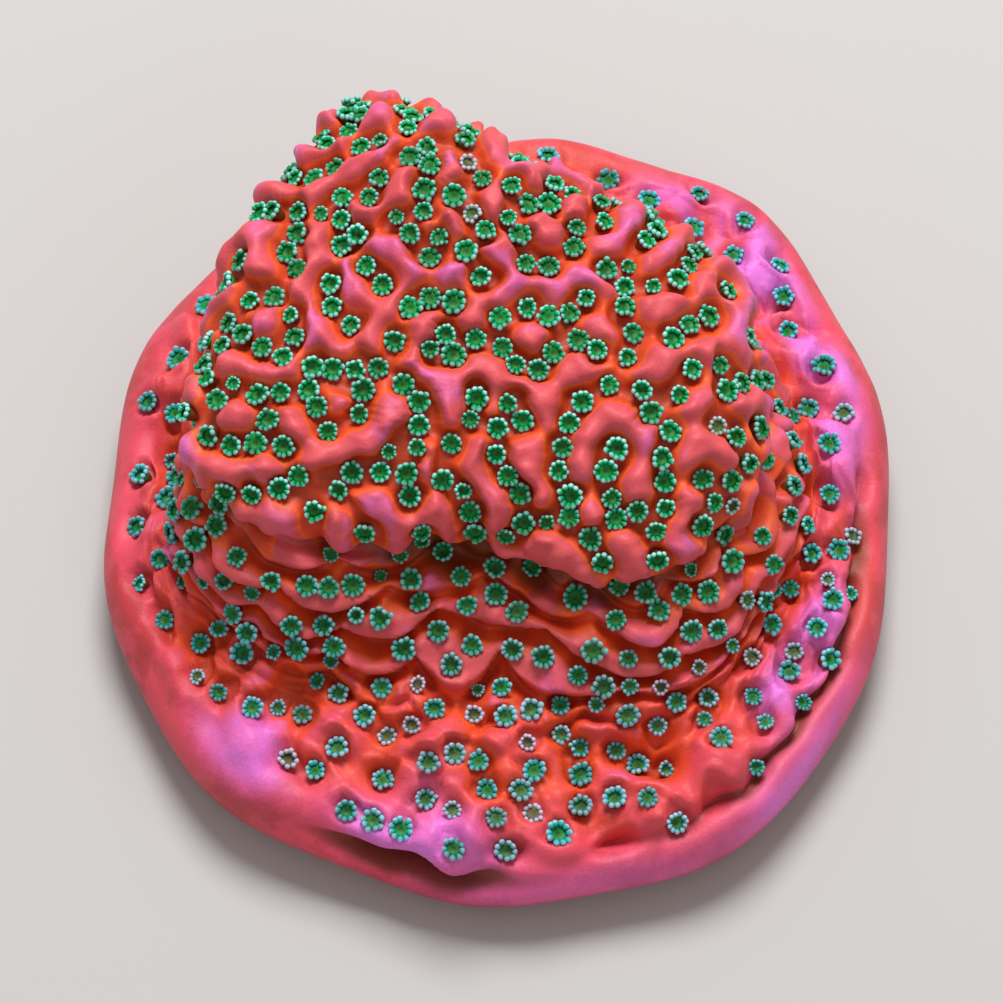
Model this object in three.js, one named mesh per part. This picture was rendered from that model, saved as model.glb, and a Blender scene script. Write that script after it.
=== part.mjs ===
// A montipora coral colony, grown as one piece.
// A thick round crust with a smooth rim carries a tall mound. The mound's ridged face leans to the front and
// ends there in a lip, and ledges step down from the lip to the crust. The underside is cut flat.
// Millimetres, +Z up, the front is -Y, and the origin is under the middle of the colony's box.

import * as THREE from "three";

// Two outlines seen from above, as radii from a middle point at equal bearings from +X, turning left.
const RIM = { x: 0, y: 0, radii: [16.0, 16.8, 17.7, 16.9, 16.8, 16.8, 16.3, 17.0, 17.0, 17.2, 17.5, 16.7] };
const LIP = { x: -0.9, y: 4.6, radii: [10.8, 8.3, 6.9, 6.9, 10.5, 10.3, 10.2, 13.2, 10.5, 9.3, 12.2, 12.9] };
const LIP_TILT = 0.06; // fall of the lip for each millimetre to the right

// Contours of the colony, from the cut underside up to the top of the face.
// climb: from 0 at the rim's outline to 1 at the lip's. size: share of that outline. front, back: height there.
// ridge, swell: height of the ridges and of the slow swells. ledge: share of the ledges' full depth.
// facet: length of a facet along the contour. rows: rows of facets up to the next contour.
const CONTOURS = [
  { climb: 0.0, size: 0.91, front: 0.0, back: 0.0, ridge: 0.0, ledge: 0.0, swell: 0.0, facet: 1.3, rows: 1 },
  { climb: 0.0, size: 0.97, front: 0.8, back: 0.9, ridge: 0.0, ledge: 0.0, swell: 0.1, facet: 1.3, rows: 1 },
  { climb: 0.0, size: 1.0, front: 2.1, back: 2.4, ridge: 0.0, ledge: 0.0, swell: 0.1, facet: 1.2, rows: 2 },
  { climb: 0.0, size: 0.97, front: 3.4, back: 3.9, ridge: 0.1, ledge: 0.0, swell: 0.2, facet: 1.0, rows: 3 },
  { climb: 0.0, size: 0.91, front: 4.1, back: 4.7, ridge: 0.2, ledge: 0.0, swell: 0.2, facet: 0.9, rows: 3 },
  { climb: 0.2, size: 0.9, front: 4.3, back: 4.9, ridge: 0.2, ledge: 0.0, swell: 0.3, facet: 0.8, rows: 3 },
  { climb: 0.4, size: 0.91, front: 4.6, back: 5.2, ridge: 0.4, ledge: 0.2, swell: 0.3, facet: 0.75, rows: 4 },
  { climb: 0.6, size: 0.94, front: 5.3, back: 5.9, ridge: 0.6, ledge: 1.0, swell: 0.3, facet: 0.7, rows: 7 },
  { climb: 0.8, size: 0.97, front: 7.2, back: 7.8, ridge: 0.6, ledge: 1.0, swell: 0.3, facet: 0.7, rows: 7 },
  { climb: 0.96, size: 0.97, front: 8.4, back: 10.6, ridge: 0.4, ledge: 0.3, swell: 0.3, facet: 0.7, rows: 3 },
  { climb: 1.0, size: 1.0, front: 9.6, back: 12.8, ridge: 0.6, ledge: 0.0, swell: 0.3, facet: 0.65, rows: 2 },
  { climb: 1.0, size: 0.93, front: 10.6, back: 13.9, ridge: 0.8, ledge: 0.0, swell: 0.3, facet: 0.62, rows: 4 },
  { climb: 1.0, size: 0.72, front: 12.0, back: 14.9, ridge: 0.8, ledge: 0.0, swell: 0.3, facet: 0.62, rows: 5 },
  { climb: 1.0, size: 0.45, front: 13.4, back: 15.2, ridge: 0.8, ledge: 0.0, swell: 0.3, facet: 0.62, rows: 5 },
  { climb: 1.0, size: 0.18, front: 14.4, back: 15.0, ridge: 0.8, ledge: 0.0, swell: 0.3, facet: 0.62, rows: 3 },
  { climb: 1.0, size: 0.0, front: 14.8, back: 14.8, ridge: 0.8, ledge: 0.0, swell: 0.3, facet: 0.62, rows: 0 },
];
const SPANS = CONTOURS.length - 1;
const FEWEST_POINTS = 6; // of a row near the top

// The ridges wind and join, and are wider than the gaps between them.
const RIDGE_SPACING = 1.85;
const RIDGE_FOOT = -0.75; // the field's value at the floor of a gap
const RIDGE_TOP = 0.9; // the field's value at the top of a ridge
const SWELL_SPACING = 9.0;
const WAVES = 24;
const WAVE_LEAN = 0.6; // rise of the steepest wave's direction, of 1

// The ledges at the front, between the crust and the lip. Each is a row of round lobes.
const LEDGES = 4;
const LEDGE_FOOT = 0.55; // the climb where the lowest ledge starts
const LEDGE_FRONT = [0.0, 0.6]; // how far to the front, of 1, the ledges start and where they are full
const LEDGE_DEPTH = 1.2;
const LEDGE_EDGE = [0.25, 0.5]; // the part of a ledge where its thick edge stands out
const LEDGE_WANDER = 0.3; // how far a ledge strays up and down, as a share of a ledge
const LEDGE_SMOOTHING = 0.6; // share of the ridges' height that is lost on ledges
const LOBES = 22; // lobes of a ledge that ran all around
const LOBE_REACH = 0.7; // how far a lobe reaches down, as a share of a ledge
const LOBE_STRAY = 0.9; // how unevenly lobes are spread
const LOBE_STRAYS = 3; // how many times, all around, lobes are spread more

// Hollows, each on a contour (counted from 0) and at a bearing in degrees, with its reach both ways.
const HOLLOWS = [
  { name: "groove along the right rim", contour: 3.7, width: 0.35, bearing: -30, reach: 36, depth: 0.8 },
  { name: "edge inside that groove", contour: 4.5, width: 0.5, bearing: -30, reach: 36, depth: -0.4 },
  { name: "crevice under the front edge", contour: 2.8, width: 0.5, bearing: 257, reach: 11, depth: 1.4 },
  { name: "edge above the crevice", contour: 3.8, width: 0.4, bearing: 258, reach: 11, depth: -0.5 },
  { name: "recess under the lip", contour: 9.1, width: 0.45, bearing: 270, reach: 65, depth: 0.8 },
];

const TISSUE = new THREE.MeshStandardMaterial({ color: 0xe0505a, roughness: 0.55, metalness: 0 });

const { degToRad, lerp, smoothstep } = THREE.MathUtils;
const GOLDEN_ANGLE = Math.PI * (3 - Math.sqrt(5));

// A field of equal waves from all sides: its high parts wind through space as ridges do.
function waves(point, spacing) {
  let sum = 0;
  for (let i = 0; i < WAVES; i++) {
    const up = (WAVE_LEAN * (i + 0.5)) / WAVES;
    const flat = Math.sqrt(1 - up * up);
    const turn = i * GOLDEN_ANGLE;
    const distance = point.x * flat * Math.cos(turn) + point.y * flat * Math.sin(turn) + point.z * up;
    sum += Math.cos((2 * Math.PI * distance) / spacing + turn * turn);
  }
  return sum * Math.sqrt(2 / WAVES);
}

// An outline's radius at an angle, on a smooth closed curve through its own radii.
function outlineRadius({ radii }, angle) {
  const along = (radii.length * angle) / (2 * Math.PI);
  const first = Math.floor(along);
  const [a, b, c, d] = [-1, 0, 1, 2].map((step) => radii[(first + step + radii.length) % radii.length]);
  const t = along - first;
  return b + (t / 2) * (c - a + t * (2 * a - 5 * b + 4 * c - d + t * (3 * b - a - 3 * c + d)));
}

function contourPoint({ climb, size, front, back }, angle) {
  const radius = size * lerp(outlineRadius(RIM, angle), outlineRadius(LIP, angle), climb);
  const x = lerp(RIM.x, LIP.x, climb) + radius * Math.cos(angle);
  const y = lerp(RIM.y, LIP.y, climb) + radius * Math.sin(angle);
  const height = lerp(front, back, (1 + Math.sin(angle)) / 2);
  return new THREE.Vector3(x, y, height - LIP_TILT * climb * x);
}

// A value of the contours, such as the ridge height, at a place from 0 (first contour) to SPANS (last contour).
function valueAt(name, place) {
  const low = Math.min(Math.floor(place), SPANS - 1);
  return lerp(CONTOURS[low][name], CONTOURS[low + 1][name], place - low);
}

// The colony without its ridges, ledges and hollows.
function smoothForm(place, angle) {
  const section = new THREE.CatmullRomCurve3(CONTOURS.map((contour) => contourPoint(contour, angle)));
  return section.getPoint(place / SPANS);
}

// A closed row of points. Every second row is turned by half a facet.
function rowOfPoints(place, row) {
  const radius = valueAt("size", place) * lerp(RIM.radii[0], LIP.radii[0], valueAt("climb", place));
  const count = Math.max(FEWEST_POINTS, Math.round((2 * Math.PI * radius) / valueAt("facet", place)));
  const turn = (row % 2) / 2;
  const points = Array.from({ length: count }, (_, i) => smoothForm(place, (2 * Math.PI * (i + turn)) / count));
  return { place, turn, points };
}

function rowsOfPoints() {
  const places = CONTOURS.flatMap(({ rows }, i) => Array.from({ length: rows }, (_, j) => i + j / rows));
  const top = { place: SPANS, turn: 0, points: [smoothForm(SPANS, 0)] };
  return [...places.map(rowOfPoints), top];
}

// Facets between two closed rows that may hold different numbers of points.
function stitch(low, high) {
  const [lowCount, highCount] = [low.points.length, high.points.length];
  const [lowSides, highSides] = [lowCount, highCount].map((count) => (count > 1 ? count : 0));
  const faces = [];
  let i = 0;
  let j = 0;
  while (i < lowSides || j < highSides) {
    const a = low.start + (i % lowCount);
    const b = high.start + (j % highCount);
    const lowIsNext = (i + 1 + low.turn) / lowCount <= (j + 1 + high.turn) / highCount;
    if (j === highSides || (lowIsNext && i < lowSides)) {
      i++;
      faces.push(a, low.start + (i % lowCount), b);
    } else {
      j++;
      faces.push(a, high.start + (j % highCount), b);
    }
  }
  return faces;
}

// Where a ledge's foot runs, counted in ledges.
function ledgeFoot(ledge, bearing) {
  const turn = (LOBES * bearing) / 2 + ledge * GOLDEN_ANGLE + LOBE_STRAY * Math.sin(LOBE_STRAYS * bearing + ledge);
  return ledge + LOBE_REACH * (1 - Math.abs(Math.sin(turn)));
}

// From the foot of a ledge up: a short riser, a thick edge that stands out, and a tread to the next ledge's foot.
function ledgeProfile(step, bearing) {
  const whole = Math.floor(step);
  const ledge = step < ledgeFoot(whole, bearing) ? whole - 1 : whole;
  const foot = ledgeFoot(ledge, bearing);
  const share = (step - foot) / (ledgeFoot(ledge + 1, bearing) - foot);
  return smoothstep(share, 0, LEDGE_EDGE[0]) - smoothstep(share, LEDGE_EDGE[1], 1);
}

function hollowDepth({ contour, width, bearing, reach, depth }, place, angle) {
  const turn = angle - degToRad(bearing);
  const aside = Math.atan2(Math.sin(turn), Math.cos(turn)) / degToRad(reach);
  const across = (place - contour) / width;
  return depth * Math.exp(-aside * aside - across * across);
}

// How far the surface stands out from the smooth form at a point.
function standOut(point, place) {
  const swell = waves(point, SWELL_SPACING);
  const ridge = Math.sqrt(smoothstep(waves(point, RIDGE_SPACING), RIDGE_FOOT, RIDGE_TOP));
  const bearing = Math.atan2(point.y - LIP.y, point.x - LIP.x);
  const climbed = (valueAt("climb", place) - LEDGE_FOOT) / (1 - LEDGE_FOOT);
  const ledge = ledgeProfile(LEDGES * climbed + LEDGE_WANDER * swell, bearing);
  const onLedge = valueAt("ledge", place) * smoothstep(-Math.sin(bearing), ...LEDGE_FRONT);
  const angle = Math.atan2(point.y, point.x);
  const hollows = HOLLOWS.reduce((sum, hollow) => sum + hollowDepth(hollow, place, angle), 0);
  return (
    valueAt("swell", place) * swell +
    valueAt("ridge", place) * (1 - LEDGE_SMOOTHING * onLedge) * (ridge - 0.5) +
    LEDGE_DEPTH * onLedge * (ledge - 0.5) -
    hollows
  );
}

function colonyGeometry() {
  const underside = { turn: 0, points: [new THREE.Vector3(RIM.x, RIM.y, 0)] };
  const rows = [underside, ...rowsOfPoints()];
  let start = 0;
  for (const row of rows) {
    row.start = start;
    start += row.points.length;
  }
  const faces = rows.slice(1).flatMap((row, i) => stitch(rows[i], row));
  const geometry = new THREE.BufferGeometry().setFromPoints(rows.flatMap((row) => row.points)).setIndex(faces);
  geometry.computeVertexNormals();

  // All rows above the cut stand out along the smooth form's own normals.
  const { position, normal } = geometry.attributes;
  const outward = new THREE.Vector3();
  for (const row of rows.slice(2)) {
    row.points.forEach((point, i) => {
      outward.fromBufferAttribute(normal, row.start + i);
      position.setXYZ(row.start + i, ...point.addScaledVector(outward, standOut(point, row.place)));
    });
  }
  geometry.computeBoundingBox();
  const middle = geometry.boundingBox.getCenter(new THREE.Vector3());
  return geometry.translate(-middle.x, -middle.y, 0);
}

const coral = new THREE.Group();
const colony = new THREE.Mesh(colonyGeometry(), TISSUE);
colony.name = "colony";
coral.add(colony);

export default coral;
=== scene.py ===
"""A montipora coral colony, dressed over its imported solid.

The skin repeats the solid's contours, swells, ledges and ridges with much finer facets, and the soft
polyps stand in the gaps between its ridges. Lengths inside the functions are in millimetres. Settings,
meshes and lamps are in metres.
"""

import functools
import math
from types import SimpleNamespace

import bpy
import numpy as np
from bpy.props import FloatProperty, FloatVectorProperty, IntProperty, PointerProperty
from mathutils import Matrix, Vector, kdtree


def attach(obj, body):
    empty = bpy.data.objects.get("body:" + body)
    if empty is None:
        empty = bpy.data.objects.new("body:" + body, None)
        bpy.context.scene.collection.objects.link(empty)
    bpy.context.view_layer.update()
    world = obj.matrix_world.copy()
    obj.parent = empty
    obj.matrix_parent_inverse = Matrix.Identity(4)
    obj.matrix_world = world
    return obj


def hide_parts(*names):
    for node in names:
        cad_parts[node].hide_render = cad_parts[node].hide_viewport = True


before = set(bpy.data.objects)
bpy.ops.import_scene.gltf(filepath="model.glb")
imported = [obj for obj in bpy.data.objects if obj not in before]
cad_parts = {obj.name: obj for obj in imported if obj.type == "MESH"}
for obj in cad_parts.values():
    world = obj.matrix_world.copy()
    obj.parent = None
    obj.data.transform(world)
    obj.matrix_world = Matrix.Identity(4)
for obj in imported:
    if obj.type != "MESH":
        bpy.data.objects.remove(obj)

bl_info = {
    "name": "Montipora Coral",
    "version": (1, 0, 0),
    "blender": (4, 5, 0),
    "location": "View3D > Sidebar > Coral",
    "description": "Grows the skin and the polyps of a montipora colony over its solid",
    "category": "Add Mesh",
}

MM = 0.001
TURN = 2 * math.pi
GOLDEN_ANGLE = math.pi * (3 - math.sqrt(5))

# Two outlines seen from above: a middle point, and radii at equal bearings from +X, turning left.
RIM_MIDDLE = np.array([0.0, 0.0])
RIM_RADII = np.array([16.0, 16.8, 17.7, 16.9, 16.8, 16.8, 16.3, 17.0, 17.0, 17.2, 17.5, 16.7])
LIP_MIDDLE = np.array([-0.9, 4.6])
LIP_RADII = np.array([10.8, 8.3, 6.9, 6.9, 10.5, 10.3, 10.2, 13.2, 10.5, 9.3, 12.2, 12.9])
LIP_TILT = 0.06  # fall of the lip for each millimetre to the right

# Contours from the cut underside up to the top of the face.
# climb goes from 0 at the rim's outline to 1 at the lip's, and size is the share of that outline.
# front, back, ridge and swell are heights, ledge is a share of the full depth, and facet counts facets.
CONTOUR_VALUES = ("climb", "size", "front", "back", "ridge", "ledge", "swell", "facet")
CONTOURS = np.array([
    (0.00, 0.91, 0.0, 0.0, 0.0, 0.0, 0.0, 2.0),
    (0.00, 0.97, 0.8, 0.9, 0.0, 0.0, 0.1, 2.0),
    (0.00, 1.00, 2.1, 2.4, 0.0, 0.0, 0.1, 1.8),
    (0.00, 0.97, 3.4, 3.9, 0.1, 0.0, 0.2, 1.5),
    (0.00, 0.91, 4.1, 4.7, 0.2, 0.0, 0.2, 1.4),
    (0.20, 0.90, 4.3, 4.9, 0.2, 0.0, 0.3, 1.3),
    (0.40, 0.91, 4.6, 5.2, 0.4, 0.2, 0.3, 1.2),
    (0.60, 0.94, 5.3, 5.9, 0.6, 1.0, 0.3, 1.1),
    (0.80, 0.97, 7.2, 7.8, 0.6, 1.0, 0.3, 1.1),
    (0.96, 0.97, 8.4, 10.6, 0.4, 0.3, 0.3, 1.1),
    (1.00, 1.00, 9.6, 12.8, 0.6, 0.0, 0.3, 1.0),
    (1.00, 0.93, 10.6, 13.9, 0.8, 0.0, 0.3, 1.0),
    (1.00, 0.72, 12.0, 14.9, 0.8, 0.0, 0.3, 1.0),
    (1.00, 0.45, 13.4, 15.2, 0.8, 0.0, 0.3, 1.0),
    (1.00, 0.18, 14.4, 15.0, 0.8, 0.0, 0.3, 1.0),
    (1.00, 0.00, 14.8, 14.8, 0.8, 0.0, 0.3, 1.0),
])
SPANS = len(CONTOURS) - 1
CREST = 4.0  # the contour along the top of the rim
CRUST_END = (5.5, 7.5)  # contours between which the crust gives way to the mound
LIP = 10.0  # the contour along the lip
MOUND_START = LIP - 0.5  # the contour where the mound's polyps start

# Facets of the smooth form.
ROW_GAP = 0.87  # from one row of points to the next, in facet lengths
ROW_SAMPLES = 24  # points that measure a row's length
FEWEST_ROWS = 2  # from one contour to the next
FEWEST_POINTS = 8  # in one row
SHORTEST_GAP = 1e-4  # keeps the curves whole where two contours meet
NORMAL_STEP = 0.02  # in contours and in radians, for finding outward directions

# Waves, which make the swells, the crust's lumps, the ridges and the small knobs along them.
WAVES = 24
WAVE_LEAN = 0.6  # rise of the steepest wave's direction, of 1
SWELL_SPACING = 9.0
LUMP_HEIGHT = 0.32
LUMP_SPACING = 3.4
LUMP_START = (CREST - 1.0, CREST + 0.5)  # contours where lumps start and are full
KNOB_HEIGHT = 0.1
KNOB_SPACING = 1.05
RIDGE_ROUNDS = 2  # how many times the ridges are smoothed
RIDGE_GAIN = 1.25  # what makes up for the height that smoothing takes
CRUST_LEVEL = 0.75  # the height that the crust's ridges are drawn to, of 1
CRUST_EVENNESS = 0.6  # how far they are

# Ledges between the crust and the lip.
LEDGES = 4
LEDGE_FOOT = 0.55  # the climb where the lowest ledge starts
LEDGE_FRONT = (0.0, 0.6)  # how far to the front ledges start and are full, of 1
LEDGE_WANDER = 0.3  # how far a ledge strays up and down, as a share of a ledge
LEDGE_DEPTH = 1.2
LEDGE_EDGE = (0.25, 0.5)  # the part of a ledge where its thick edge stands out
LEDGE_SMOOTHING = 0.6  # share of the ridges' height that is lost on ledges
LOBES = 22  # round lobes of a ledge that ran all around
LOBE_REACH = 0.7  # how far a lobe reaches down, as a share of a ledge
LOBE_STRAY = 0.9  # how unevenly lobes are spread
LOBE_STRAYS = 3  # how many times, all around, lobes are spread more
TREAD_MIDDLE = 0.65  # the part of a ledge where polyps stand first
TREAD_DEPTH = 0.9  # how deep a gap that part counts as
TREAD_SLOPE = 4.0  # how fast the ledge counts as higher to both sides

# Hollows: contour, width in contours, bearing and reach in degrees, depth.
HOLLOWS = (
    (3.7, 0.35, -30, 36, 0.8),  # groove along the right rim
    (4.5, 0.5, -30, 36, -0.4),  # edge that stands out inside that groove
    (2.8, 0.45, 257, 11, 1.8),  # crevice under the front edge
    (3.8, 0.4, 258, 11, -0.5),  # edge that stands out above the crevice
    (9.1, 0.45, 270, 65, 0.8),  # recess under the lip
)
HOLLOW_WANDER = 0.12  # how far hollows stray from their contours
HOLLOW_WANDER_SPACING = 2.6
HOLLOW_SHARPNESS = 1.7  # how much steeper a hollow's upper side is than its lower one

# Places of polyps: in the gaps, inside the smooth rim, and off the lip's edge.
GAP_TOP = 0.05  # the highest that counts as a gap on the mound
CRUST_GAP_TOP = 0.45  # what the crust adds to it
GAP_CHOICE = 0.45  # how loosely the deepest gaps come first
LOWEST_POLYP = CREST - 0.3  # a contour
BARE_LIP = (LIP - 0.8, LIP + 0.1)  # contours between which there are none
POLYP_REACH = 0.94  # how far out polyps stand, as a share of the rim's outline
FRONT_RIM = 0.02  # how much less at the front
BARE_RIM = (226, 16)  # where the bare rim is wider: bearing and reach in degrees
BARE_RIM_SHARE = 0.08  # how much less polyps reach there

# Spread of polyps, from 0 for their spacing on the mound to 1 for that on the crust.
SPREAD_END = (6.0, 7.5)  # contours between which the crust's spread ends
CRUST_SPREAD = 0.75
FRONT_SPREAD = -0.2  # added at the front of the crust
BACK_SPREAD = 1.15  # added at the back of the crust
INNER_SPREAD = 0.8  # share of this on the inner crust; the outer crust adds 1
OUTER_CRUST = (0.75, 0.95)  # shares of the rim's outline where that starts and is full
MOUND_SPREAD = 0.2  # on the right of the mound; a wall adds 1
LEFT_SPREAD = 0.5  # share of this on the left
WALL = (0.2, 0.7)  # upward parts of a direction that make a full wall, and none
LEDGE_SPREAD = 0.3
SPACING_STRAY = (0.8, 1.15)  # least and most share of the spacing
SPREAD_STRAY = (0.5, 1.5)  # least and most share of the spread

# Room that the ridges leave around a polyp, and on the crust an alcove, in polyp widths.
POLYP_ROOM = (0.42, 0.70)  # where the ridges start and are full
CRUST_ROOM = (0.10, 0.14)  # what the crust adds to these
ROOM_STRAY = 0.22  # how uneven the room is
ROOM_STRAY_SPACING = 1.5  # in millimetres
LEAST_ROOM_STRAY = 0.5
ALCOVE_OPENING = 0.7  # how far towards the rim an alcove is fully open
OPENING_LOSS = 0.7  # share of an alcove's depth that is lost there
BROW_HEIGHT = 0.6  # of the edge behind the polyp, as a share of an alcove's depth
BROW_WIDTH = 0.35
BROW_START = -0.5  # where it is full, counted towards the rim
LEAST_REACH = 1e-6  # keeps directions whole at the middle, in millimetres

# Reach of the skin's colours, painted shade among them.
RIM_END = (CREST - 0.4, CREST + 1.0)  # contours
UNDER_SHADE_END = (1.0, 2.6)  # contours of the painted shade along the rim's underside
SHADE_END = (0.35, 1.1)  # distances from a polyp, in polyp widths
OPENING_LIGHT = 0.5  # share of the shade that is lost where an alcove is open
CRUST_TINT = 0.65  # how far the crust's own colour takes over from the ridges'
# On ledges the colour follows their form: the foot under each thick edge takes the gaps' deeper red as
# painted shade, and the thick edges take the tops' pink, partly a painted highlight.
LEDGE_TINT = 0.8  # how far a ledge's own form does
TREAD_TINT = 0.2  # a ridge's height that has a tread's colour
EDGE_TINT = 0.6  # what a ledge's thick edge adds to it

# Pale violet patches of the crust and the rim: bearing and reach in degrees, contour, and strength.
BLOOMS = (
    (46, 24, 4.5, 1.0),
    (12, 18, 4.5, 0.7),
    (329, 14, 4.6, 1.0),
    (315, 18, 2.8, 0.5),
    (280, 30, 2.3, 0.3),
    (256, 11, 4.0, 1.0),
    (227, 9, 4.0, 0.9),
)
BLOOM_WIDTH = 1.0  # in contours
# Orange-red flushes of the rim, in the same terms. The one along the right groove is a stain of the rim;
# the one at the back is partly painted shade that darkens the back of the rim.
FLUSHES_AND_SHADE = (
    (330, 34, 3.4, 0.75),
    (88, 28, 3.9, 1.0),
)
FLUSH_AND_SHADE_WIDTH = 0.6

# A polyp's parts, in shares of its half width. A body ring is (distance from the axis, height, shade).
# A tentacle ring is (distance from the axis, height, half width, shade).
BODY_RINGS = (
    (0.14, -0.17, 0.08),
    (0.38, -0.12, 0.35),
    (0.70, 0.0, 0.55),
    (0.68, -0.14, 0.1),
    (0.5, -1.2, -1.0),
)
BODY_SIDES = 12
MOUTH_DEPTH = 0.24
TENTACLE_RINGS = (
    (0.50, -0.06, 0.16, 0.52),
    (0.74, 0.06, 0.27, 0.8),
    (0.91, 0.07, 0.21, 1.0),
)
TENTACLE_END = (1.02, 0.05)  # distance from the axis and height
TENTACLE_SIDES = 6
TENTACLES = (9, 11)  # fewest and most of one polyp
PLUMP_TENTACLES = 10  # as many as fill the ring at their full width
TENTACLE_TURN_STRAY = 0.09  # as a share of the step between tentacles
TENTACLE_LENGTH_STRAY = 0.06
TENTACLE_LIFT = 0.1  # in radians
POLYP_LIFT_STRAY = 0.1
TENTACLE_LIFT_STRAY = 0.12
SPIN_RISE = 0.3  # lifts the direction that sets a polyp's spin out of level

# How polyps differ and how they stand.
WIDTH_STRAY = 0.07
PALE_WIDTH = 0.86  # a pale polyp's share of the width
PALE_HEIGHT = 0.8  # and of the height
CRUST_WIDTH = 0.06  # share that the crust adds to a polyp's width
CRUST_SINK = 0.5  # share of its height that a polyp loses on the crust
CRUST_PALE_SHARE = 0.09  # what the crust adds to the share of pale polyps
LEDGE_MIDDLE = 8.2  # the contour halfway up the ledges
LEDGE_REACH = 1.2  # contours to either side of it
LEDGE_UPRIGHT = 0.7  # how strongly polyps on the ledges stand up
LEDGE_SHADE = 0.8  # share of their brightness that they lose, as painted shade under the lip
LEAN_STRAY = 0.08
CUP_ROOM = 0.35  # slope of the empty cone that a cup needs under it
CUP_REACH = 1.5  # how far around it is looked for, in half widths
POLYP_FITS = (1.0, 0.85, 0.7)  # sizes that a polyp tries where it has little room
PALENESS_STRAY = 0.5
LEAST_PALENESS = 0.5  # of a pale polyp
FRONT_PALENESS = 0.8  # share of the stray that green polyps show at the front
PALE_FRONT = (4.0, 11.0)  # distances to the front where that starts and is full
BLUE_END = (6.0, 9.5)  # contours between which the crust's blue ends

# The sockets of a mix node that blends colours: its share and two colours, and its result.
MIX_INPUTS = (0, 6, 7)
MIX_OUTPUT = 2

# The stage. Lamps: name, place, width, and share of the key lamp's power.
LAMPS = (
    ("key", (0.01, 0.15, 0.28), 0.15, 1.0),
    ("fill", (0.15, -0.3, 0.3), 0.2, 0.12),
)
LAMP_TARGET = (0, 0, 0.006)
SKY = (1.0, 0.97, 0.95, 1.0)
SKY_STRENGTH = 0.42
FLOOR_SIDE = 3.0
FLOOR_ROUGHNESS = 0.9
CAMERA_TARGET = (0.145, 0, 2.2)  # in millimetres
CAMERA_RISE = 0.6  # of the picture's middle above that, in millimetres
CAMERA_START = 0.01  # the nearest that it sees
IMAGE_SIDE = 1003  # pixels of the picture's width and height


def length_property(name, description, millimetres, least=0.0):
    """A length that is given in millimetres and kept in metres."""
    default = millimetres * MM
    return FloatProperty(
        name=name, description=description, default=default, min=least * MM, unit="LENGTH", precision=5
    )


def colour_property(name, description, default):
    """A colour as linear light."""
    return FloatVectorProperty(
        name=name, description=description, default=default, size=3, subtype="COLOR", min=0, max=1
    )


class CoralForm(bpy.types.PropertyGroup):
    """Sizes of the colony's skin."""

    facet: length_property("Facet", "Length of a facet on the face", 0.14, least=0.1)
    ridge_spacing: length_property("Ridge spacing", "Length of the waves that make ridges", 1.85)
    ridge_foot: FloatProperty(
        name="Ridge foot", description="The waves' height at the floor of a gap", default=-0.55
    )
    ridge_top: FloatProperty(
        name="Ridge top", description="The waves' height at the top of a ridge", default=1.7
    )
    pit_depth: length_property("Pit depth", "Depth of the alcoves around polyps on the crust", 0.35)


class CoralPolyps(bpy.types.PropertyGroup):
    """Sizes and places of the polyps."""

    width: length_property("Width", "Width of an open polyp over its tentacles", 0.95)
    spacing: length_property("Spacing", "Distance between polyps on the mound", 0.96)
    crust_spacing: length_property("Crust spacing", "Distance between polyps on the crust", 1.4)
    height: length_property("Height", "Height of the mouth over the gap's floor", 0.2)
    highest_rise: length_property("Highest rise", "Most that a polyp is raised to clear the tissue", 0.35)
    pale_share: FloatProperty(
        name="Pale share", description="Share of pale polyps on the mound", default=0.03, subtype="FACTOR"
    )
    seed: IntProperty(name="Seed", description="Number that fixes the polyps' variety", default=7)


class CoralColours(bpy.types.PropertyGroup):
    """Colours of the tissue and the polyps."""

    # Partly the tissue's own deeper red, partly painted shade on the gaps' floors.
    gap: colour_property("Gap", "Floor of the gaps between ridges", (0.60, 0.056, 0.014))
    # Painted shade, used around each polyp, in the hollows and on the polyps' stalks.
    shade: colour_property("Shade", "Shaded tissue around a polyp", (0.18, 0.034, 0.004))
    side: colour_property("Side", "Sides of the ridges", (0.82, 0.07, 0.02))
    edge: colour_property("Edge", "Bright line along a ridge's shoulder", (0.95, 0.125, 0.022))
    top: colour_property("Top", "Tops of the ridges", (0.68, 0.088, 0.112))
    # Partly the tissue's own violet, partly a painted sheen on the ridges' tops.
    violet: colour_property("Violet", "Violet bloom on ridge tops", (0.68, 0.13, 0.40))
    rim: colour_property("Rim", "Smooth rim", (0.75, 0.066, 0.105))
    stain: colour_property("Stain", "Brown-red stains of the rim", (0.46, 0.035, 0.03))
    # A stain along the right groove, and partly painted shade at the back of the rim.
    flush: colour_property("Flush", "Orange-red flushes of the rim", (0.68, 0.072, 0.05))
    # Painted shade: the rim turns darker towards its underside, near the floor.
    under: colour_property("Under", "Underside of the rim", (0.26, 0.015, 0.06))
    bloom: colour_property("Bloom", "Pale violet patches of the rim", (0.80, 0.23, 0.90))
    mouth: colour_property("Mouth", "Middle of a polyp", (0.022, 0.072, 0.012))
    cup: colour_property("Cup", "Inside of a polyp's cup", (0.003, 0.25, 0.04))
    tentacle: colour_property("Tentacle", "Tentacles of a polyp", (0.008, 0.45, 0.22))
    # Partly the tips' own paler colour, partly a painted highlight at their ends.
    tip: colour_property("Tip", "Tips of a polyp's tentacles", (0.33, 0.74, 0.72))
    blue: colour_property("Blue", "Tentacles of the polyps on the crust", (0.08, 0.43, 0.66))
    pale: colour_property("Pale", "Tips of a pale polyp", (0.58, 0.53, 0.70))
    olive: colour_property("Olive", "Middle of a pale polyp", (0.12, 0.09, 0.04))


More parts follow.
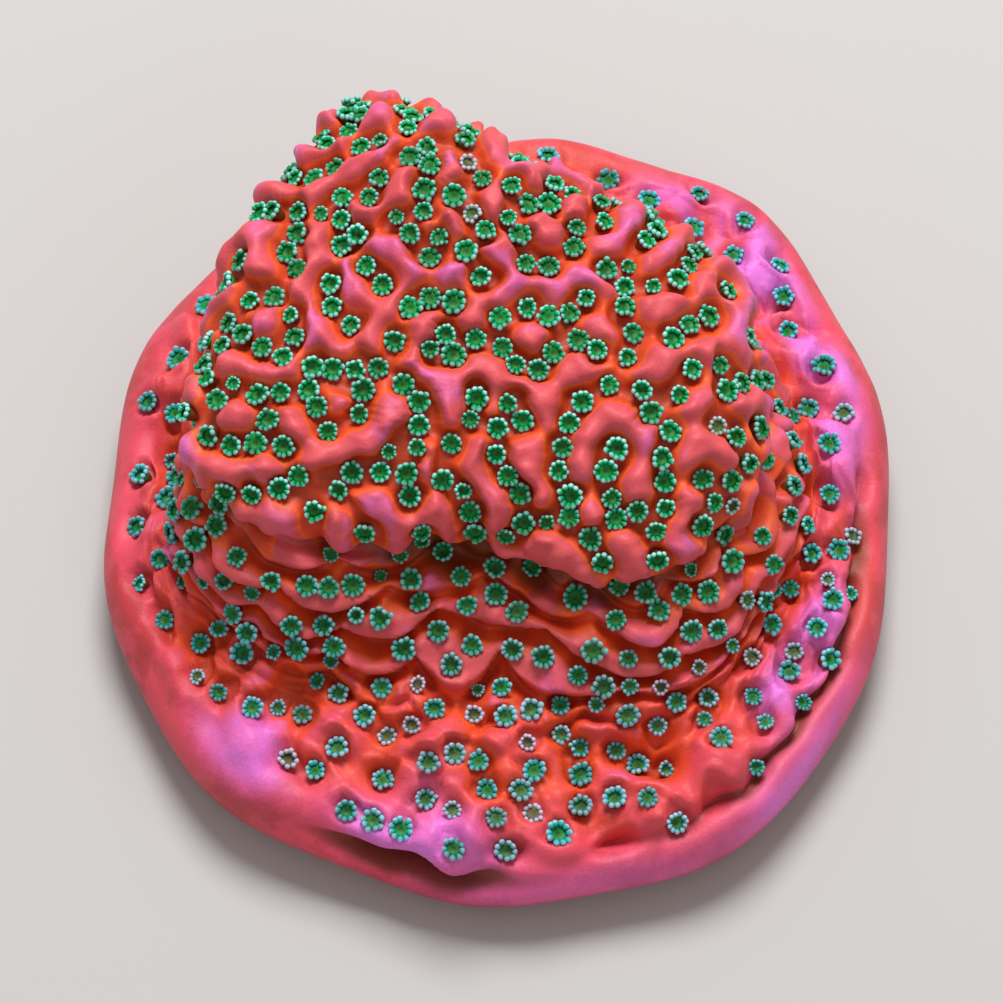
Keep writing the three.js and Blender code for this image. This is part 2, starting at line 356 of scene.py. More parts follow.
class CoralStage(bpy.types.PropertyGroup):
    """The floor, the light and the camera."""

    elevation: FloatProperty(
        name="Elevation", description="The camera's angle above the floor",
        default=math.radians(64), subtype="ANGLE",
    )
    distance: length_property("Distance", "From the camera to the colony", 230.0)
    pixels_per_mm: FloatProperty(
        name="Scale", description="Pixels of the picture for a millimetre", default=24.2
    )
    key_power: FloatProperty(
        name="Key power", description="Power of the large lamp", default=1.1, unit="POWER"
    )
    floor: colour_property("Floor", "Plain pale floor", (0.5, 0.49, 0.48))


def smoothstep(value, low, high):
    """A smooth step from 0 at a low value to 1 at a high one."""
    share = np.clip((value - low) / (high - low), 0, 1)
    return share * share * (3 - 2 * share)


def all_around(count):
    """Equal angles all around."""
    return TURN * np.arange(count) / count


def bearing_of(points, middle=RIM_MIDDLE):
    """Bearings of points from a middle point, seen from above."""
    return np.arctan2(points[:, 1] - middle[1], points[:, 0] - middle[0])


def aside_of(angle, bearing, reach):
    """How far angles lie from a bearing, counted in reaches. The last two are in degrees."""
    turn = angle - math.radians(bearing)
    return np.arctan2(np.sin(turn), np.cos(turn)) / math.radians(reach)


def waves(points, spacing):
    """A field of equal waves from all sides: its high parts wind through space as ridges do."""
    i = np.arange(WAVES)
    up = WAVE_LEAN * (i + 0.5) / WAVES
    flat = np.sqrt(1 - up * up)
    turn = i * GOLDEN_ANGLE
    directions = np.stack([flat * np.cos(turn), flat * np.sin(turn), up])
    each = np.cos(TURN * (points @ directions) / spacing + turn * turn)
    return each.sum(axis=1) * math.sqrt(2 / WAVES)


def outline_radius(radii, angle):
    """An outline's radius at an angle, on a smooth closed curve through its own radii."""
    along = len(radii) * angle / TURN
    first = np.floor(along).astype(int)
    t = along - first
    a, b, c, d = (radii[(first + step) % len(radii)] for step in (-1, 0, 1, 2))
    return b + t / 2 * (c - a + t * (2 * a - 5 * b + 4 * c - d + t * (3 * b - a - 3 * c + d)))


def contour_points(contour, angle):
    """Points of one contour, between the rim's outline and the lip's."""
    climb, size, front, back = CONTOURS[contour][:4]
    rim = outline_radius(RIM_RADII, angle)
    lip = outline_radius(LIP_RADII, angle)
    radius = size * ((1 - climb) * rim + climb * lip)
    middle = (1 - climb) * RIM_MIDDLE + climb * LIP_MIDDLE
    x = middle[0] + radius * np.cos(angle)
    y = middle[1] + radius * np.sin(angle)
    height = front + (back - front) * (1 + np.sin(angle)) / 2 - LIP_TILT * climb * x
    return np.stack([x, y, height], axis=1)


def knot_gap(start, end):
    """The step of a centripetal curve from some points to others."""
    return np.maximum(np.sqrt(np.linalg.norm(end - start, axis=1))[:, None], SHORTEST_GAP)


def smooth_form(place, angle):
    """Points of the colony without ridges, ledges and hollows, on curves through its contours."""
    low = min(int(place), SPANS - 1)
    start, end = contour_points(low, angle), contour_points(low + 1, angle)
    before = contour_points(low - 1, angle) if low > 0 else 2 * start - end
    after = contour_points(low + 2, angle) if low + 2 <= SPANS else 2 * end - start
    first, middle, last = knot_gap(before, start), knot_gap(start, end), knot_gap(end, after)
    leave = ((start - before) / first - (end - before) / (first + middle) + (end - start) / middle) * middle
    arrive = ((end - start) / middle - (after - start) / (middle + last) + (after - end) / last) * middle
    t = place - low
    cubic = 2 * start - 2 * end + leave + arrive
    square = -3 * start + 3 * end - 2 * leave - arrive
    return start + t * (leave + t * (square + t * cubic))


def value_at(name, place):
    """One of the contours' values, between contours too."""
    column = CONTOURS[:, CONTOUR_VALUES.index(name)]
    return np.interp(place, np.arange(len(CONTOURS)), column)


def normals_of(place, angle):
    """Outward directions of the smooth form."""
    low = max(place - NORMAL_STEP, 0.0)
    high = min(place + NORMAL_STEP, SPANS - NORMAL_STEP)
    here = min(place, SPANS - NORMAL_STEP)
    along = smooth_form(here, angle + NORMAL_STEP) - smooth_form(here, angle - NORMAL_STEP)
    across = smooth_form(high, angle) - smooth_form(low, angle)
    normal = np.cross(along, across)
    return normal / np.linalg.norm(normal, axis=1)[:, None]


def row_places(facet):
    """The places of the rows of points, spaced by the facet length."""
    bearings = all_around(len(RIM_RADII))
    places = []
    for low in range(SPANS):
        across = contour_points(low + 1, bearings) - contour_points(low, bearings)
        widest = np.linalg.norm(across, axis=1).max()
        rows = max(FEWEST_ROWS, round(widest / (ROW_GAP * facet * value_at("facet", low + 0.5))))
        places += [low + j / rows for j in range(rows)]
    return places


def row_count(place, facet):
    """How many points a row takes."""
    ring = smooth_form(place, all_around(ROW_SAMPLES))
    length = np.linalg.norm(ring - np.roll(ring, 1, axis=0), axis=1).sum()
    return max(FEWEST_POINTS, round(length / (facet * value_at("facet", place))))


def stitch(low, low_count, low_turn, high, high_count, high_turn):
    """Triangles between two closed rows that may hold different numbers of points."""
    faces = []
    i = j = 0
    low_sides = low_count if low_count > 1 else 0
    high_sides = high_count if high_count > 1 else 0
    while i < low_sides or j < high_sides:
        a = low + i % low_count
        b = high + j % high_count
        low_is_next = (i + 1 + low_turn) / low_count <= (j + 1 + high_turn) / high_count
        if j == high_sides or (low_is_next and i < low_sides):
            i += 1
            faces.append((a, low + i % low_count, b))
        else:
            j += 1
            faces.append((a, high + j % high_count, b))
    return faces


def smooth_mesh(facet):
    """Points, outward directions, places, angles and triangles of the smooth form."""
    points = [np.array([[*RIM_MIDDLE, 0.0]])]
    normals = [np.array([[0.0, 0.0, -1.0]])]
    places = [np.zeros(1)]
    angles = [np.zeros(1)]
    faces = []
    row_start, row_points, row_turn = 0, 1, 0.0
    for row, place in enumerate([*row_places(facet), float(SPANS)]):
        count = row_count(place, facet) if place < SPANS else 1
        turn = (row % 2) / 2
        angle = TURN * (np.arange(count) + turn) / count
        start = row_start + row_points
        points.append(smooth_form(place, angle))
        normals.append(normals_of(place, angle) if place < SPANS else np.array([[0.0, 0.0, 1.0]]))
        places.append(np.full(count, place))
        angles.append(angle)
        faces += stitch(row_start, row_points, row_turn, start, count, turn)
        row_start, row_points, row_turn = start, count, turn
    joined = [np.concatenate(rows) for rows in (points, normals, places, angles)]
    return (*joined, np.array(faces))


def ledge_foot(ledge, angle):
    """Where a ledge's foot runs, counted in ledges: along a row of round lobes."""
    turn = LOBES * angle / 2 + ledge * GOLDEN_ANGLE + LOBE_STRAY * np.sin(LOBE_STRAYS * angle + ledge)
    return ledge + LOBE_REACH * (1 - np.abs(np.sin(turn)))


def ledge_share(step, angle):
    """How far a point is through its ledge, from 0 at its foot to 1 at the next one's foot."""
    whole = np.floor(step)
    ledge = np.where(step < ledge_foot(whole, angle), whole - 1, whole)
    foot = ledge_foot(ledge, angle)
    return (step - foot) / (ledge_foot(ledge + 1, angle) - foot)


def ledge_profile(share):
    """One ledge from its foot to the next one's: a short riser, a thick edge and a tread."""
    return smoothstep(share, 0, LEDGE_EDGE[0]) - smoothstep(share, LEDGE_EDGE[1], 1)


def hollow_depths(points, place):
    """How deep the hollows are. Edges that stand out beside them count as less than 0."""
    angle = bearing_of(points)
    place = place + HOLLOW_WANDER * waves(points, HOLLOW_WANDER_SPACING)
    depth = np.zeros(len(place))
    for contour, width, bearing, reach, deepest in HOLLOWS:
        aside = aside_of(angle, bearing, reach)
        across = (place - contour) / width
        if deepest > 0:
            across *= np.where(across > 0, HOLLOW_SHARPNESS, 1)
        depth += deepest * np.exp(-aside * aside - across * across)
    return depth


def patch_share(patches, width, place, angle):
    """How much of some patches lies at a place and an angle."""
    share = np.zeros(len(angle))
    for bearing, reach, contour, strength in patches:
        aside = aside_of(angle, bearing, reach)
        across = (place - contour) / width
        share += strength * np.exp(-aside * aside - across * across)
    return np.minimum(share, 1)


def tree_of(points):
    """A search tree over points."""
    tree = kdtree.KDTree(len(points))
    for number, point in enumerate(points):
        tree.insert(point, number)
    tree.balance()
    return tree


def choose_sites(points, order, spacing):
    """Takes points in order, and closes those around each one that lie nearer than their own spacing."""
    open_points = np.ones(len(points), bool)
    sites = []
    for i in order:
        if open_points[i]:
            sites.append(i)
            open_points &= np.linalg.norm(points - points[i], axis=1) > spacing
    return np.array(sites)


def polyp_sites(points, normals, place, angle, on_ledge, height, spacing, crust_spacing, seed):
    """Indices of the points where polyps stand: in gaps, on treads of ledges, and clear of the rim."""
    random = np.random.default_rng(seed)
    on_crust = 1 - smoothstep(place, *SPREAD_END)
    reach = np.hypot(points[:, 0], points[:, 1]) / outline_radius(RIM_RADII, bearing_of(points))
    frontness = np.clip(-np.sin(angle), 0, 1) ** 0.5
    backness = np.clip(np.sin(angle), 0, 1)
    rightness = np.clip(np.cos(angle), 0, 1)
    bare = BARE_RIM_SHARE * np.exp(-(aside_of(angle, *BARE_RIM) ** 2))
    inside = reach < POLYP_REACH - FRONT_RIM * frontness - bare
    off_lip = (place < BARE_LIP[0]) | (place > BARE_LIP[1])
    in_gap = height < GAP_TOP + CRUST_GAP_TOP * on_crust
    candidates = np.flatnonzero(inside & off_lip & in_gap & (place > LOWEST_POLYP))

    crust_spread = CRUST_SPREAD + FRONT_SPREAD * frontness + BACK_SPREAD * backness
    spread = on_crust * (INNER_SPREAD + smoothstep(reach, *OUTER_CRUST)) * crust_spread
    wall = 1 - smoothstep(normals[:, 2], *WALL)
    spread = np.maximum(spread, (MOUND_SPREAD + wall) * (LEFT_SPREAD + (1 - LEFT_SPREAD) * rightness))
    spread = np.maximum(spread, LEDGE_SPREAD * on_ledge)
    gaps = spacing * random.uniform(*SPACING_STRAY, len(points))
    gaps += (crust_spacing - spacing) * spread * random.uniform(*SPREAD_STRAY, len(points))
    eagerness = height[candidates] + random.normal(0, GAP_CHOICE, len(candidates))
    chosen = choose_sites(points[candidates], np.argsort(eagerness), gaps[candidates])
    return candidates[chosen]


def relaxed(values, faces, rounds):
    """Values of a mesh's points, smoothed by taking the mean of those around, some times over."""
    start, end = faces.ravel(), np.roll(faces, -1, axis=1).ravel()
    around = np.bincount(start)
    for _ in range(rounds):
        values = np.bincount(start, values[end]) / around
    return values


def from_polyps(points, sites):
    """How far points lie from the nearest polyp, unevenly, and how far of that is towards the rim."""
    tree = tree_of(points[sites])
    nearest = [tree.find(point)[1] for point in points]
    offset = points - points[sites[nearest]]
    reach = np.hypot(points[:, 0], points[:, 1]).clip(LEAST_REACH)
    outward = (offset[:, :2] * points[:, :2]).sum(axis=1) / reach
    stray = 1 + ROOM_STRAY * waves(points, ROOM_STRAY_SPACING)
    return np.linalg.norm(offset, axis=1) * stray.clip(LEAST_ROOM_STRAY), outward


@functools.lru_cache(maxsize=1)
def grow(facet, ridge_spacing, ridge_foot, ridge_top, pit_depth, polyp_width, spacing, crust_spacing, seed):
    """The whole skin: its points, triangles, the attributes that colour it, and the sites of its polyps."""
    points, normals, place, angle, faces = smooth_mesh(facet)
    swell = waves(points, SWELL_SPACING)
    lump = waves(points, LUMP_SPACING)
    field = waves(points, ridge_spacing)
    knob = np.tanh(waves(points, KNOB_SPACING))
    crust = 1 - smoothstep(place, *CRUST_END)

    # Ledges run around the lip's middle. Where polyps stand, a ledge's tread counts as a gap.
    bearing = bearing_of(points, LIP_MIDDLE)
    climbed = (value_at("climb", place) - LEDGE_FOOT) / (1 - LEDGE_FOOT)
    share = ledge_share(LEDGES * climbed + LEDGE_WANDER * swell, bearing)
    profile = ledge_profile(share)
    on_ledge = value_at("ledge", place) * smoothstep(-np.sin(bearing), *LEDGE_FRONT)
    tread = TREAD_SLOPE * np.abs(share - TREAD_MIDDLE) - TREAD_DEPTH
    height = field + on_ledge * (tread - field)
    sites = polyp_sites(points, normals, place, angle, on_ledge, height, spacing, crust_spacing, seed)

    # Ridges leave room around each polyp. On the crust the room is an alcove, open towards the rim.
    distance, outward = from_polyps(points, sites)
    ends = ((on_mound + more * crust) * polyp_width for on_mound, more in zip(POLYP_ROOM, CRUST_ROOM))
    room = smoothstep(distance, *ends)
    opening = crust * smoothstep(outward, 0, ALCOVE_OPENING * polyp_width)
    brow = np.exp(-(((distance - polyp_width) / (BROW_WIDTH * polyp_width)) ** 2))
    brow *= 1 - smoothstep(outward, BROW_START * polyp_width, 0)
    pit = (1 - room) * (1 - OPENING_LOSS * opening) - BROW_HEIGHT * brow
    up = np.clip((field - ridge_foot) / (ridge_top - ridge_foot), 0, 1)
    ridge = np.sqrt(up * (2 - up))
    ridge += CRUST_EVENNESS * crust * (CRUST_LEVEL - ridge)
    ridge = relaxed(ridge * room, faces, RIDGE_ROUNDS)

    hollow = hollow_depths(points, place)
    stand_out = (
        value_at("swell", place) * swell
        + LUMP_HEIGHT * crust * smoothstep(place, *LUMP_START) * lump
        + value_at("ridge", place) * (1 - LEDGE_SMOOTHING * on_ledge) * RIDGE_GAIN * (ridge - 0.5)
        + KNOB_HEIGHT * (1 - crust) * ridge * knob
        + on_ledge * LEDGE_DEPTH * (profile - 0.5)
        - pit_depth * crust * pit
        - hollow
    )
    stand_out[place == 0] = 0
    skin = points + normals * stand_out[:, None]
    middle = (skin.min(axis=0) + skin.max(axis=0)) / 2
    skin[:, :2] -= middle[:2]
    shade = 1 - smoothstep(distance, SHADE_END[0] * polyp_width, SHADE_END[1] * polyp_width)
    attributes = {
        # On ledges: painted shade at the foot under each edge, and pink on the thick edges, partly a
        # painted highlight.
        "ridge": ridge + LEDGE_TINT * on_ledge * (TREAD_TINT + EDGE_TINT * profile - ridge),
        "rim": 1 - smoothstep(place, *RIM_END),
        # painted shade on the rim's underside
        "under": 1 - smoothstep(place, *UNDER_SHADE_END),
        "crust": crust,
        "shade": shade * (1 - OPENING_LIGHT * opening),
        # depth of the hollows, which the tissue darkens as painted shade
        "hollow": np.clip(hollow, 0, 1),
        "bloom": patch_share(BLOOMS, BLOOM_WIDTH, place, bearing_of(points)),
        "flush": patch_share(FLUSHES_AND_SHADE, FLUSH_AND_SHADE_WIDTH, place, bearing_of(points)),
        "lump": lump,
    }
    return SimpleNamespace(
        skin=skin, normals=normals, place=place, faces=faces, attributes=attributes, sites=sites
    )


def grown(context):
    """The colony that the scene's settings give."""
    form, polyps = context.scene.coral_form, context.scene.coral_polyps
    return grow(
        facet=form.facet / MM,
        ridge_spacing=form.ridge_spacing / MM,
        ridge_foot=form.ridge_foot,
        ridge_top=form.ridge_top,
        pit_depth=form.pit_depth / MM,
        polyp_width=polyps.width / MM,
        spacing=polyps.spacing / MM,
        crust_spacing=polyps.crust_spacing / MM,
        seed=polyps.seed,
    )


def mesh_piece(name, points, faces, attributes, material, slot):
    """A smooth mesh piece that rides on the colony, from points in millimetres."""
    mesh = bpy.data.meshes.new(name)
    mesh.from_pydata((points * MM).tolist(), [], faces.tolist())
    for attribute, values in attributes.items():
        layer = mesh.attributes.new(attribute, "FLOAT", "POINT")
        layer.data.foreach_set("value", np.asarray(values, np.float32))
    mesh.shade_smooth()
    mesh.materials.append(material)
    piece = bpy.data.objects.new(name, mesh)
    bpy.context.scene.collection.objects.link(piece)
    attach(piece, "root")
    return piece


class NodeTree:
    """Adds nodes to a material and links them."""

    def __init__(self, name):
        self.material = bpy.data.materials.new(name)
        self.material.use_nodes = True
        self.nodes = self.material.node_tree.nodes
        self.links = self.material.node_tree.links
        self.shader = self.nodes["Principled BSDF"]

    def put(self, socket, value):
        """Links a socket to another one, or gives it a plain value."""
        if isinstance(value, bpy.types.NodeSocket):
            self.links.new(value, socket)
        else:
            socket.default_value = value

    def surface(self, values):
        """Puts values into the shader's sockets by name."""
        for name, value in values.items():
            self.put(self.shader.inputs[name], value)

    def attribute(self, name):
        """One of the mesh's attributes."""
        node = self.nodes.new("ShaderNodeAttribute")
        node.attribute_name = name
        return node.outputs["Fac"]

    def noise(self, scale, detail=2.0, roughness=0.5):
        """Noise from 0 to 1, with as many grains in a metre as its scale."""
        place = self.nodes.new("ShaderNodeTexCoord")
        node = self.nodes.new("ShaderNodeTexNoise")
        self.links.new(place.outputs["Object"], node.inputs["Vector"])
        node.inputs["Scale"].default_value = scale
        node.inputs["Detail"].default_value = detail
        node.inputs["Roughness"].default_value = roughness
        return node.outputs["Fac"]

    def between(self, value, low, high, at_low=0.0, at_high=1.0):
        """A smooth step from one number at a low value to another at a high one."""
        node = self.nodes.new("ShaderNodeMapRange")
        node.interpolation_type = "SMOOTHSTEP"
        self.put(node.inputs["Value"], value)
        ends = {"From Min": low, "From Max": high, "To Min": at_low, "To Max": at_high}
        for name, number in ends.items():
            node.inputs[name].default_value = number
        return node.outputs["Result"]

    def maths(self, operation, first, second):
        """An operation on two values."""
        node = self.nodes.new("ShaderNodeMath")
        node.operation = operation
        self.put(node.inputs[0], first)
        self.put(node.inputs[1], second)
        return node.outputs["Value"]

    def mix(self, share, first, second):
        """The first colour with a share of the second."""
        node = self.nodes.new("ShaderNodeMix")
        node.data_type = "RGBA"
        for number, value in zip(MIX_INPUTS, (share, first, second)):
            plain_colour = not isinstance(value, (float, bpy.types.NodeSocket))
            self.put(node.inputs[number], (*value, 1.0) if plain_colour else value)
        return node.outputs[MIX_OUTPUT]

    def ramp(self, value, stops):
        """A colour that goes by a value, from stops of (position, colour)."""
        node = self.nodes.new("ShaderNodeValToRGB")
        self.put(node.inputs["Fac"], value)
        elements = node.color_ramp.elements
        while len(elements) < len(stops):
            elements.new(0.5)
        for element, (position, colour) in zip(elements, stops):
            element.position = position
            element.color = (*colour, 1.0)
        return node.outputs["Color"]

    def bump(self, height, distance, strength):
        """Fine relief of the surface."""
        node = self.nodes.new("ShaderNodeBump")
        self.put(node.inputs["Height"], height)
        node.inputs["Distance"].default_value = distance
        node.inputs["Strength"].default_value = strength
        self.links.new(node.outputs["Normal"], self.shader.inputs["Normal"])


def tissue_material(colours):
    """Red tissue: deep in gaps, partly as painted shade; bright on the ridges' shoulders; pink to violet on
    top and at the rim, the violet on top partly a painted sheen. Painted shade also darkens the hollows,
    the rim's underside and the tissue around each polyp.
    """
    tree = NodeTree("tissue")
    ridge, rim, crust, lump = (tree.attribute(name) for name in ("ridge", "rim", "crust", "lump"))
    bloom, shade, hollow = (tree.attribute(name) for name in ("bloom", "shade", "hollow"))
    # The gaps' deep red is partly the tissue's own colour, partly painted shade.
    flesh = tree.ramp(ridge, [
        (0.0, colours.gap),
        (0.35, colours.side),
        (0.5, colours.edge),
        (0.64, colours.top),
        (1.0, colours.top),
    ])
    crust_flesh = tree.mix(tree.between(lump, -0.6, 0.9), colours.side, colours.rim)
    flesh = tree.mix(tree.maths("MULTIPLY", crust, CRUST_TINT), flesh, crust_flesh)
    # Violet on the ridges' tops: partly the tissue's own colour, partly a painted sheen.
    violet = tree.between(tree.noise(scale=330.0, detail=3.0), 0.5, 0.68)
    on_top = tree.between(ridge, 0.6, 0.9)
    flesh = tree.mix(tree.maths("MULTIPLY", violet, on_top), flesh, colours.violet)
    flesh = tree.mix(tree.between(shade, 0.2, 1.0, at_high=0.24), flesh, colours.shade)

    # The rim's own colours reach onto the lumps of the crust where patches bloom; the flush at the rim's
    # back is partly painted shade.
    stains = tree.between(tree.noise(scale=430.0, detail=5.0, roughness=0.65), 0.44, 0.6, at_high=0.8)
    patches = tree.between(tree.noise(scale=190.0, detail=4.0), 0.35, 0.65, at_low=0.45)
    blooming = tree.maths("MULTIPLY", patches, tree.between(bloom, 0.0, 0.8, at_low=0.03))
    rim_flesh = tree.mix(stains, colours.rim, colours.stain)
    rim_flesh = tree.mix(blooming, rim_flesh, colours.bloom)
    # The flush along the right groove is a stain; the one at the back is partly painted shade.
    rim_flesh = tree.mix(tree.attribute("flush"), rim_flesh, colours.flush)
    on_lumps = tree.maths("MULTIPLY", tree.between(lump, -0.8, 1.0, at_low=0.3), crust)
    on_lumps = tree.maths("MULTIPLY", tree.between(bloom, 0.0, 0.6), on_lumps)
    flesh = tree.mix(tree.maths("MAXIMUM", rim, on_lumps), flesh, rim_flesh)
    # Painted shade: the rim darkens towards its underside.
    flesh = tree.mix(tree.between(tree.attribute("under"), 0.0, 1.0, at_high=0.6), flesh, colours.under)

    grain = tree.noise(scale=9000.0, detail=3.0, roughness=0.6)
    flesh = tree.mix(tree.between(grain, 0.35, 0.65, at_high=0.22), flesh, colours.gap)
    # Painted shade: the hollows take the shade colour, darkest in the crevice under the front edge and the
    # recess under the lip; along the right rim's groove it is partly that groove's own brown-red stain.
    flesh = tree.mix(tree.between(hollow, 0.1, 0.55, at_high=0.85), flesh, colours.shade)
    tree.surface({
        "Base Color": flesh,
        "Roughness": 0.5,
        "Specular IOR Level": 0.35,
        "Subsurface Weight": 0.12,
        "Subsurface Radius": (1.0, 0.25, 0.15),
        "Subsurface Scale": 0.0004,
    })
    tree.bump(grain, distance=0.00005, strength=0.5)
    return tree.material


def polyp_material(colours):
    """Green polyps with a dark mouth and paler blue-green tips, whose bright ends are partly a painted
    highlight. Some are pale with an olive mouth. Painted shade darkens the polyps on the ledges and the
    stalks.
    """
    tree = NodeTree("polyp")
    outward, pale, tone = (tree.attribute(name) for name in ("outward", "pale", "tone"))
    green = tree.ramp(outward, [
        (0.0, colours.mouth),
        (0.3, colours.cup),
        (0.55, colours.cup),
        (0.8, colours.tentacle),
        (1.0, colours.tip),
    ])
    white = tree.ramp(outward, [(0.1, colours.olive), (0.5, colours.olive), (0.8, colours.pale)])
    blue = tree.maths("MULTIPLY", tree.attribute("blue"), tree.between(outward, 0.3, 1.0, at_high=0.85))
    green = tree.mix(blue, green, colours.blue)
    # Painted highlight: the very ends of the tentacles turn brighter still, as if light caught the wet
    # tips.
    green = tree.mix(tree.between(outward, 0.88, 1.0, at_high=0.75), green, colours.tip)
    flesh = tree.mix(pale, green, white)
    # Low tones darken a polyp towards the mouth's colour: tone that differs at random, and painted shade on
    # the ledges under the lip.
    flesh = tree.mix(tree.between(tone, 0.0, 1.0, at_low=0.35, at_high=0.0), flesh, colours.mouth)
    # Painted shade: below the disc, the stalk takes the shade colour of the tissue around the polyp.
    flesh = tree.mix(tree.between(outward, 0.1, -0.3), flesh, colours.shade)
    tree.surface({
        "Base Color": flesh,
        "Roughness": 0.45,
        "Specular IOR Level": 0.2,
        "Subsurface Weight": 0.1,
        "Subsurface Radius": (0.3, 1.0, 0.7),
        "Subsurface Scale": 0.0001,
    })
    tree.bump(tree.noise(scale=16000.0), distance=0.00002, strength=0.4)
    return tree.material


def ring_faces(rings, sides):
    """Triangles of a tube of rings, each with the same number of points."""
    ring, side = np.indices((rings - 1, sides)).reshape(2, -1)
    a, b = ring * sides + side, ring * sides + (side + 1) % sides
    return np.concatenate([np.stack([a, b, b + sides], 1), np.stack([a, b + sides, a + sides], 1)])


def cap_faces(first, sides, point):
    """Triangles from a ring of points to one point."""
    a = first + np.arange(sides)
    b = first + (np.arange(sides) + 1) % sides
    return np.stack([a, b, np.full(sides, point)], 1)


def polyp_body():
    """The stalk, disc and mouth: points, triangles and shades, from the mouth out and down."""
    angle = all_around(BODY_SIDES)
    points = []
    for out, up, _ in BODY_RINGS:
        ring = [out * np.cos(angle), out * np.sin(angle), np.full(BODY_SIDES, up)]
        points.append(np.stack(ring, 1))
    points.append(np.array([[0.0, 0.0, -MOUTH_DEPTH]]))
    count = BODY_SIDES * len(BODY_RINGS)
    tube = ring_faces(len(BODY_RINGS), BODY_SIDES)[:, ::-1]
    faces = np.concatenate([tube, cap_faces(0, BODY_SIDES, count)])
    shades = np.append(np.repeat([shade for _, _, shade in BODY_RINGS], BODY_SIDES), 0.0)
    return np.concatenate(points), faces, shades


def polyp_tentacle():
    """One tentacle along +X with a swollen tip: points, triangles and shades."""
    angle = all_around(TENTACLE_SIDES)
    points = []
    for out, up, radius, _ in TENTACLE_RINGS:
        ring = [np.full(TENTACLE_SIDES, out), radius * np.cos(angle), up + radius * np.sin(angle)]
        points.append(np.stack(ring, 1))
    points.append(np.array([[TENTACLE_END[0], 0.0, TENTACLE_END[1]]]))
    count = TENTACLE_SIDES * len(TENTACLE_RINGS)
    tube = ring_faces(len(TENTACLE_RINGS), TENTACLE_SIDES)
    faces = np.concatenate([tube, cap_faces(count - TENTACLE_SIDES, TENTACLE_SIDES, count)])
    shades = np.append(np.repeat([shade for _, _, _, shade in TENTACLE_RINGS], TENTACLE_SIDES), 1.0)
    return np.concatenate(points), faces, shades


def turned(first, second, angle):
    """Two coordinates after a turn from the first to the second."""
    cosine, sine = math.cos(angle), math.sin(angle)
    return first * cosine - second * sine, first * sine + second * cosine


def one_polyp(random, half_width, polyp_lift):
    """An upright polyp about its mouth, in millimetres."""
    points, faces, shades = ([part] for part in polyp_body())
    arm_points, arm_faces, arm_shades = polyp_tentacle()
    count = random.integers(TENTACLES[0], TENTACLES[1] + 1)
    start = len(points[0])
    for i in range(count):
        turn = TURN * (i + random.normal(0, TENTACLE_TURN_STRAY)) / count
        lift = polyp_lift + random.normal(0, TENTACLE_LIFT_STRAY)
        length = random.normal(1.0, TENTACLE_LENGTH_STRAY)
        out, aside, up = (arm_points * (length, PLUMP_TENTACLES / count, 1.0)).T
        out, up = turned(out, up, lift)
        points.append(np.stack([*turned(out, aside, turn), up], 1))
        faces.append(arm_faces + start)
        shades.append(arm_shades)
        start += len(arm_points)
    return np.concatenate(points) * half_width, np.concatenate(faces), np.concatenate(shades)


def turn_to(points, axis, spin):
    """Points whose +Z turns to an axis, after a spin about it."""
    side = np.cross(axis, (math.cos(spin), math.sin(spin), SPIN_RISE))
    side /= np.linalg.norm(side)
    return points @ np.stack([side, np.cross(axis, side), axis])


def rise_over(skin, tree, mouth, axis, half_width):
    """How far a polyp has to rise for the skin to lie under its cup and its tentacles."""
    near = [number for _, number, _ in tree.find_range(mouth, CUP_REACH * half_width)]
    if not near:
        return 0.0
    offsets = skin[near] - mouth
    along = offsets @ axis
    aside = np.linalg.norm(offsets - along[:, None] * axis, axis=1)
    room = along + CUP_ROOM * (half_width - aside)
    return max(0.0, room[aside < half_width].max(initial=0.0))


def polyps_at(colony, sites, polyps):
    """Points, triangles and attributes of the polyps on some of the colony's sites."""
    random = np.random.default_rng(polyps.seed)
    tree = tree_of(colony.skin)
    points, faces = [], []
    attributes = {"outward": [], "pale": [], "tone": [], "blue": []}
    start = 0
    for site in sites:
        skin, place, crust = colony.skin[site], colony.place[site], colony.attributes["crust"][site]
        ledge = math.exp(-((place - LEDGE_MIDDLE) / LEDGE_REACH) ** 2)
        front = smoothstep(-skin[1], *PALE_FRONT)
        pale = random.random() < polyps.pale_share + CRUST_PALE_SHARE * crust
        half_width = polyps.width / MM / 2 * random.normal(1.0, WIDTH_STRAY)
        half_width *= PALE_WIDTH if pale else 1 + CRUST_WIDTH * crust
        height = polyps.height / MM * (PALE_HEIGHT if pale else 1.0) * (1 - CRUST_SINK * crust)
        lift = random.normal(TENTACLE_LIFT, POLYP_LIFT_STRAY)
        body, triangles, shades = one_polyp(random, half_width, lift)
        axis = colony.normals[site] + (0, 0, LEDGE_UPRIGHT * ledge) + random.normal(0, LEAN_STRAY, 3)
        axis /= np.linalg.norm(axis)
        mouth = skin + axis * height
        for fit in POLYP_FITS:
            rise = rise_over(colony.skin, tree, mouth, axis, fit * half_width)
            if rise <= polyps.highest_rise / MM:
                break
        else:
            continue
        points.append(turn_to(fit * body, axis, random.random() * TURN) + mouth + axis * rise)
        faces.append(triangles + start)
        start += len(body)
        paleness = random.uniform(0.0, PALENESS_STRAY)
        paleness = LEAST_PALENESS + paleness if pale else FRONT_PALENESS * front * paleness
        # A random tone, lowered on the ledges as painted shade under the lip.
        tone = random.random() * (1 - LEDGE_SHADE * ledge)
        blue = 1 - smoothstep(place, *BLUE_END)
        for parts, value in zip(attributes.values(), (shades, paleness, tone, blue)):
            parts.append(np.full(len(body), value))
    attributes = {name: np.concatenate(parts) for name, parts in attributes.items()}
    return np.concatenate(points), np.concatenate(faces), attributes


